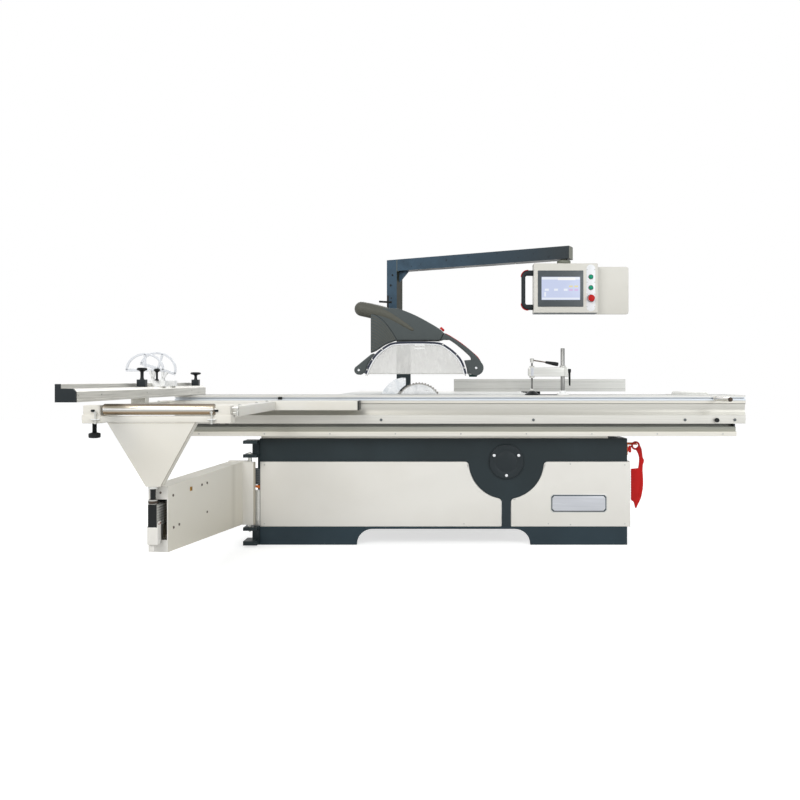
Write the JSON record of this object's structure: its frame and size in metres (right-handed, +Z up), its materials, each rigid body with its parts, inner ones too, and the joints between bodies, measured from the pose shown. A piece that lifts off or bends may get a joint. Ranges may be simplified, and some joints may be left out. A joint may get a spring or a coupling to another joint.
{
  "type": "sliding table panel saw",
  "caption": "Sliding table panel saw: floor-standing base, long sliding table with outrigger and swing arm, crosscut fence, overhead blade guard, rip fence and a control pendant on a boom.",
  "frame": {"origin": "on the floor, under the middle of the whole machine's bounding box", "axes": "+Z up, +X along the sliding table towards its push handle, +Y from the operator's side to the rear column"},
  "size_m": [3.3914, 3.345, 1.9],
  "materials": {
    "dark_blue_paint": "satin dark blue-grey enamel",
    "beige_paint": "fine textured beige powder coat",
    "post_paint": "satin slate-blue enamel",
    "profile_aluminium": "extruded, satin anodised",
    "cast_table": "ground top, fine grinding lines",
    "cast_housing": "raw casting, satin grey paint",
    "steel": "turned and brushed steel",
    "blade_steel": "ground disc with concentric marks",
    "roller_chrome": "polished chrome",
    "black_plastic": "moulded black plastic, fine grain",
    "hood_plastic": "moulded grey-green plastic",
    "clear_plastic": "clear plastic sheet",
    "red_plastic": "glossy red plastic",
    "green_plastic": "glossy green plastic",
    "orange_paint": "orange enamel",
    "belt_rubber": "matt black rubber"
  },
  "bodies": {
    "frame": {"base_plinth": "dark_blue_paint", "top_frame": "dark_blue_paint", "well_cover": "dark_blue_paint", "front_panel_left": "beige_paint", "front_panel_right": "beige_paint", "rear_cover": "beige_paint", "guide_rail": "profile_aluminium", "main_table": "cast_table", "extension_table": "profile_aluminium", "rear_column": "post_paint", "arm_hinge_bracket": "dark_blue_paint", "fence_guide_bar": "steel", "side_bracket": "orange_paint"},
    "table": {"sliding_table": "profile_aluminium", "outrigger_frame": "beige_paint", "support_triangle": "beige_paint", "push_handle": "roller_chrome"},
    "roller": {"support_roller": "roller_chrome"},
    "lock_knob": {"table_lock_knob": "black_plastic"},
    "level_knob": {"levelling_knob": "black_plastic"},
    "fence": {"crosscut_fence": "profile_aluminium"},
    "outer_knob": {"fence_knob_outer": "black_plastic"},
    "inner_knob": {"fence_knob_inner": "black_plastic"},
    "near_carriage": {"stop_carriage_near": "steel"},
    "far_carriage": {"stop_carriage_far": "steel"},
    "near_flip": {"flip_stop_near": "clear_plastic"},
    "far_flip": {"flip_stop_far": "clear_plastic"},
    "clamp_post": {"clamp_column": "steel"},
    "clamp_beam": {"clamp_arm": "profile_aluminium"},
    "clamp_screw": {"clamp_spindle": "steel"},
    "crank": {"clamp_crank": "black_plastic"},
    "beam_lever": {"clamp_lever": "black_plastic"},
    "arm": {"swing_arm": "beige_paint"},
    "arm_tube": {"arm_inner_tube": "steel"},
    "cradle": {"tilt_cradle": "cast_housing", "scoring_motor": "dark_blue_paint"},
    "carriage": {"rise_carriage": "cast_housing", "riving_knife": "steel", "main_motor": "dark_blue_paint", "drive_belt": "belt_rubber"},
    "arbor": {"saw_arbor": "steel", "saw_blade": "blade_steel"},
    "motor_shaft": {"motor_pulley": "steel"},
    "scoring": {"scoring_blade": "blade_steel"},
    "boom": {"guard_boom": "post_paint"},
    "guard": {"guard_hood": "hood_plastic", "guard_shield": "clear_plastic"},
    "hood_button": {"guard_button": "red_plastic"},
    "boom_handle": {"boom_clamp_handle": "black_plastic"},
    "pendant_boom": {"pendant_arm": "post_paint"},
    "pendant": {"pendant_box": "beige_paint", "pendant_handle": "black_plastic"},
    "start": {"start_button": "green_plastic"},
    "resume": {"resume_button": "green_plastic"},
    "stop": {"stop_button": "red_plastic"},
    "rip_carriage": {"rip_fence_carriage": "black_plastic"},
    "rip_profile": {"rip_fence": "profile_aluminium"},
    "rip_lever": {"rip_fence_lever": "black_plastic"},
    "isolator": {"isolator_knob": "red_plastic"},
    "stick": {"push_stick": "red_plastic"}
  },
  "joints": [
    {"name": "table_slide", "type": "slide", "parent": "frame", "child": "table", "axis": [1, 0, 0], "range_m": [-1.5, 1.5]},
    {"name": "roller_spin", "type": "hinge", "parent": "table", "child": "roller", "pos_m": [-1.29025, -1.2575, 0.828], "axis": [1, 0, 0], "continuous": true},
    {"name": "lock_knob_pull", "type": "slide", "parent": "table", "child": "lock_knob", "axis": [0, -1, 0], "range_m": [0, 0.008], "stiffness_N_per_m": 400},
    {"name": "levelling_knob_turn", "type": "hinge", "parent": "table", "child": "level_knob", "pos_m": [-1.59025, -1.2595, 0.75], "axis": [0, 0, 1], "continuous": true},
    {"name": "fence_mitre", "type": "hinge", "parent": "table", "child": "fence", "pos_m": [-1.52625, -0.0395, 0.87], "axis": [0, 0, 1], "range_deg": [0, 45]},
    {"name": "outer_knob_turn", "type": "hinge", "parent": "fence", "child": "outer_knob", "pos_m": [-1.51625, -0.8955, 0.96], "axis": [0, 0, 1], "continuous": true},
    {"name": "inner_knob_turn", "type": "hinge", "parent": "fence", "child": "inner_knob", "pos_m": [-1.51625, -0.0395, 0.96], "axis": [0, 0, 1], "continuous": true},
    {"name": "near_stop_slide", "type": "slide", "parent": "fence", "child": "near_carriage", "axis": [0, 1, 0], "range_m": [-0.17, 0.08]},
    {"name": "far_stop_slide", "type": "slide", "parent": "fence", "child": "far_carriage", "axis": [0, 1, 0], "range_m": [-0.08, 0.38]},
    {"name": "near_flip_lift", "type": "hinge", "parent": "near_carriage", "child": "near_flip", "pos_m": [-1.55625, -0.6425, 0.9626], "axis": [0, 1, 0], "range_deg": [0, 35]},
    {"name": "far_flip_lift", "type": "hinge", "parent": "far_carriage", "child": "far_flip", "pos_m": [-1.55625, -0.4925, 0.9626], "axis": [0, 1, 0], "range_deg": [-17, 18]},
    {"name": "clamp_slide", "type": "slide", "parent": "table", "child": "clamp_post", "axis": [1, 0, 0], "range_m": [-1.5, 0.9]},
    {"name": "clamp_height", "type": "slide", "parent": "clamp_post", "child": "clamp_beam", "axis": [0, 0, 1], "range_m": [0, 0.09]},
    {"name": "crank_turn", "type": "hinge", "parent": "clamp_screw", "child": "crank", "pos_m": [0.47675, -0.1425, 1.07], "axis": [0, 0, 1], "range_deg": [0, 1801]},
    {"name": "spindle_travel", "type": "slide", "parent": "clamp_beam", "child": "clamp_screw", "axis": [0, 0, 1], "range_m": [0, 0.02]},
    {"name": "clamp_lever_turn", "type": "hinge", "parent": "clamp_beam", "child": "beam_lever", "pos_m": [0.69375, -0.1425, 1.012], "axis": [1, 0, 0], "range_deg": [-45, 45]},
    {"name": "arm_swing", "type": "hinge", "parent": "frame", "child": "arm", "pos_m": [-1.15825, -0.1875, 0.3], "axis": [0, 0, 1], "range_deg": [-55, 55]},
    {"name": "arm_extend", "type": "slide", "parent": "arm", "child": "arm_tube", "axis": [-0.0698, -0.9976, 0], "range_m": [0, 0.9]},
    {"name": "saw_tilt", "type": "hinge", "parent": "frame", "child": "cradle", "pos_m": [-0.19025, 0.1875, 0.87], "axis": [-1, 0, 0], "range_deg": [0, 45]},
    {"name": "saw_rise", "type": "slide", "parent": "cradle", "child": "carriage", "axis": [0, 0, 1], "range_m": [-0.08, 0]},
    {"name": "motor_spin", "type": "hinge", "parent": "carriage", "child": "motor_shaft", "pos_m": [-0.09025, 0.4575, 0.57], "axis": [0, 1, 0], "continuous": true},
    {"name": "blade_spin", "type": "hinge", "parent": "carriage", "child": "arbor", "pos_m": [-0.19025, 0.1875, 0.794], "axis": [0, 1, 0], "continuous": true},
    {"name": "scoring_spin", "type": "hinge", "parent": "cradle", "child": "scoring", "pos_m": [0.04475, 0.1875, 0.812], "axis": [0, 1, 0], "continuous": true},
    {"name": "guard_swing", "type": "hinge", "parent": "frame", "child": "boom", "pos_m": [-0.46025, 1.3775, 1.37], "axis": [0, 0, 1], "range_deg": [-80, 0]},
    {"name": "guard_lift", "type": "slide", "parent": "boom", "child": "guard", "axis": [0, 0, 1], "range_m": [-0.1, 0]},
    {"name": "guard_button_press", "type": "slide", "parent": "guard", "child": "hood_button", "axis": [-0.6775, 0, -0.7355], "range_m": [0, 0.003], "stiffness_N_per_m": 400},
    {"name": "pendant_arm_swing", "type": "hinge", "parent": "frame", "child": "pendant_boom", "pos_m": [-0.41325, 1.4875, 1.6], "axis": [0, 0, 1], "range_deg": [-40, 60]},
    {"name": "boom_handle_turn", "type": "hinge", "parent": "frame", "child": "boom_handle", "pos_m": [-0.46025, 1.3775, 1.5], "axis": [0, 0, 1], "continuous": true},
    {"name": "pendant_swivel", "type": "hinge", "parent": "pendant_boom", "child": "pendant", "pos_m": [0.82015, 0.85089, 1.8], "axis": [0, 0, 1], "range_deg": [-90, 90]},
    {"name": "start_press", "type": "slide", "parent": "pendant", "child": "start", "axis": [0, 1, 0], "range_m": [0, 0.004], "stiffness_N_per_m": 400},
    {"name": "resume_press", "type": "slide", "parent": "pendant", "child": "resume", "axis": [0, 1, 0], "range_m": [0, 0.004], "stiffness_N_per_m": 400},
    {"name": "stop_press", "type": "slide", "parent": "pendant", "child": "stop", "axis": [0, 1, 0], "range_m": [0, 0.004], "stiffness_N_per_m": 400},
    {"name": "rip_fence_slide", "type": "slide", "parent": "frame", "child": "rip_carriage", "axis": [0, 1, 0], "range_m": [-0.9, 0.2]},
    {"name": "rip_fence_extend", "type": "slide", "parent": "rip_carriage", "child": "rip_profile", "axis": [1, 0, 0], "range_m": [-0.45, 0.2]},
    {"name": "rip_lever_turn", "type": "hinge", "parent": "rip_carriage", "child": "rip_lever", "pos_m": [0.69975, 1.2925, 0.89], "axis": [1, 0, 0], "range_deg": [0, 60]},
    {"name": "isolator_turn", "type": "hinge", "parent": "frame", "child": "isolator", "pos_m": [1.03975, -0.1245, 0.554], "axis": [1, 0, 0], "range_deg": [0, 90]},
    {"name": "push_stick_lift", "type": "slide", "parent": "frame", "child": "stick", "axis": [0, -1, 0], "range_m": [0, 0.026]}
  ],
  "couplings": [
    {"joint": "crank_turn", "follows": "spindle_travel", "rad_per_m": 1570.8},
    {"joint": "blade_spin", "follows": "motor_spin", "ratio": 1.2857},
    {"joint": "arm_swing", "follows": "table_slide", "rad_per_m": 0.636}
  ]
}
